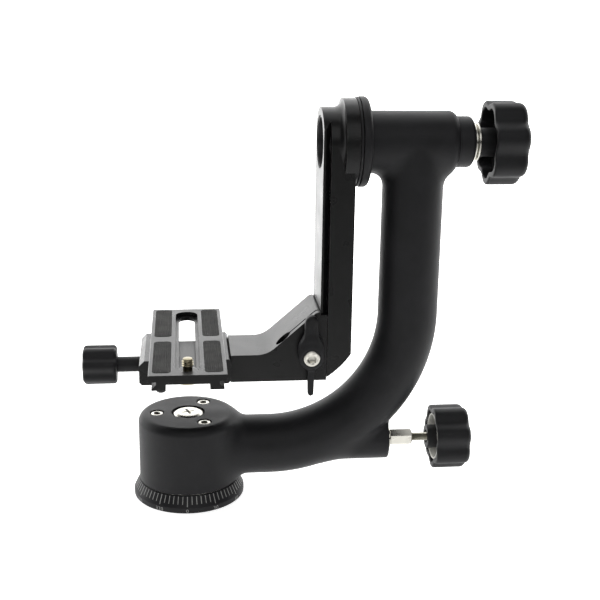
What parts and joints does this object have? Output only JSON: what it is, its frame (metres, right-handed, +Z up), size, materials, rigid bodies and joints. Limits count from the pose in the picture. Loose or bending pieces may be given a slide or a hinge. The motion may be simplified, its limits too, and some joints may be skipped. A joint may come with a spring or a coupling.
{
  "type": "alt azimuth mount",
  "caption": "Side-arm alt azimuth head: turning base, J-shaped arm, swing arm and a dovetail clamp with a slotted camera plate.",
  "frame": {"origin": "centre of the base's foot on the azimuth axis, at the mouth of the tripod thread", "axes": "+Z up the azimuth axis, +X along the altitude axis towards the upright of the J-shaped arm, -Y the side of the clamp lever"},
  "size_m": [0.2465, 0.12, 0.2314],
  "materials": {
    "black_coat": "satin black powder coat on cast aluminium",
    "black_anodised": "fine-blasted black anodised aluminium",
    "raw_aluminium": "turned aluminium",
    "knob_plastic": "satin moulded black nylon",
    "pad_rubber": "dark grey ribbed rubber",
    "steel": "turned steel",
    "bright_steel": "nickel-plated steel",
    "brass": "turned brass",
    "pale_nylon": "natural nylon"
  },
  "bodies": {
    "base": {"pan_base": "black_coat", "tripod_insert": "steel", "pan_spindle": "steel", "spindle_screws": "steel", "glide_ring": "pale_nylon", "pan_washer": "steel", "pan_cap_screw": "bright_steel"},
    "arm": {"arm_casting": "black_coat", "bearing_carrier": "raw_aluminium", "pan_bearings": "steel", "housing_screws": "bright_steel", "tilt_flange": "black_anodised", "friction_ring": "knob_plastic", "tilt_bearings": "steel", "tilt_end_cap": "black_coat", "lock_hex_bush": "bright_steel", "lock_washer": "bright_steel"},
    "azimuth_brake": {"brake_shoe": "brass"},
    "azimuth_lock": {"lock_rod": "steel", "lock_insert": "brass", "lock_knob": "knob_plastic"},
    "swing_arm": {"swing_arm": "black_anodised", "tilt_spindle": "steel", "spindle_end_screw": "steel", "rail_stop_screw": "steel", "tilt_washers": "bright_steel"},
    "altitude_washer": {"thrust_washer": "bright_steel"},
    "altitude_lock": {"tilt_knob": "knob_plastic", "tilt_knob_nut": "brass"},
    "platform": {"platform_bracket": "black_anodised", "clamp_body": "black_anodised", "clamp_screws": "steel", "guide_pins": "steel", "clamp_stud": "steel", "jaw_springs": "steel"},
    "lever": {"lever_bush": "steel", "lever_screw": "bright_steel", "clamp_lever": "knob_plastic"},
    "jaw": {"clamp_jaw": "black_anodised"},
    "clamp_knob": {"clamp_knob": "knob_plastic", "clamp_sleeve": "knob_plastic"},
    "plate": {"camera_plate": "black_anodised", "plate_pads": "pad_rubber", "plate_stops": "steel"},
    "screw_slider": {"screw_keeper": "black_anodised"},
    "camera_screw": {"camera_screw": "brass"}
  },
  "joints": [
    {"name": "azimuth", "type": "hinge", "parent": "base", "child": "arm", "pos_m": [0, 0, 0], "axis": [0, 0, 1], "continuous": true},
    {"name": "altitude", "type": "hinge", "parent": "arm", "child": "swing_arm", "pos_m": [0.09, 0, 0.2065], "axis": [1, 0, 0], "continuous": true},
    {"name": "platform_height", "type": "slide", "parent": "swing_arm", "child": "platform", "axis": [0, 0, 1], "range_m": [0, 0.07]},
    {"name": "lever_turn", "type": "hinge", "parent": "platform", "child": "lever", "pos_m": [0.0688, -0.0192, 0.0896], "axis": [0, -1, 0], "range_deg": [0, 150]},
    {"name": "jaw_travel", "type": "slide", "parent": "platform", "child": "jaw", "axis": [-1, 0, 0], "range_m": [0, 0.0026]},
    {"name": "clamp_knob_turn", "type": "hinge", "parent": "jaw", "child": "clamp_knob", "pos_m": [-0.04, 0, 0.0796], "axis": [-1, 0, 0], "range_deg": [0, 900]},
    {"name": "plate_slide", "type": "slide", "parent": "platform", "child": "plate", "axis": [0, 1, 0], "range_m": [-0.028, 0.028]},
    {"name": "screw_travel", "type": "slide", "parent": "plate", "child": "screw_slider", "axis": [0, 1, 0], "range_m": [-0.0012, 0.094]},
    {"name": "screw_turn", "type": "hinge", "parent": "screw_slider", "child": "camera_screw", "pos_m": [0, -0.047, 0.092], "axis": [0, 0, 1], "continuous": true},
    {"name": "brake_travel", "type": "slide", "parent": "arm", "child": "azimuth_brake", "axis": [1, 0, 0], "range_m": [0, 0.0011]},
    {"name": "azimuth_lock_turn", "type": "hinge", "parent": "azimuth_brake", "child": "azimuth_lock", "pos_m": [0.14, 0, 0.0293], "axis": [1, 0, 0], "range_deg": [0, 450]},
    {"name": "washer_travel", "type": "slide", "parent": "swing_arm", "child": "altitude_washer", "axis": [1, 0, 0], "range_m": [0, 0.0016]},
    {"name": "altitude_lock_turn", "type": "hinge", "parent": "altitude_washer", "child": "altitude_lock", "pos_m": [0.17, 0, 0.2065], "axis": [1, 0, 0], "range_deg": [0, 450]}
  ],
  "couplings": [
    {"joint": "jaw_travel", "follows": "clamp_knob_turn", "m_per_rad": 0.00015915},
    {"joint": "brake_travel", "follows": "azimuth_lock_turn", "m_per_rad": 0.00012732},
    {"joint": "washer_travel", "follows": "altitude_lock_turn", "m_per_rad": 0.00019894}
  ]
}
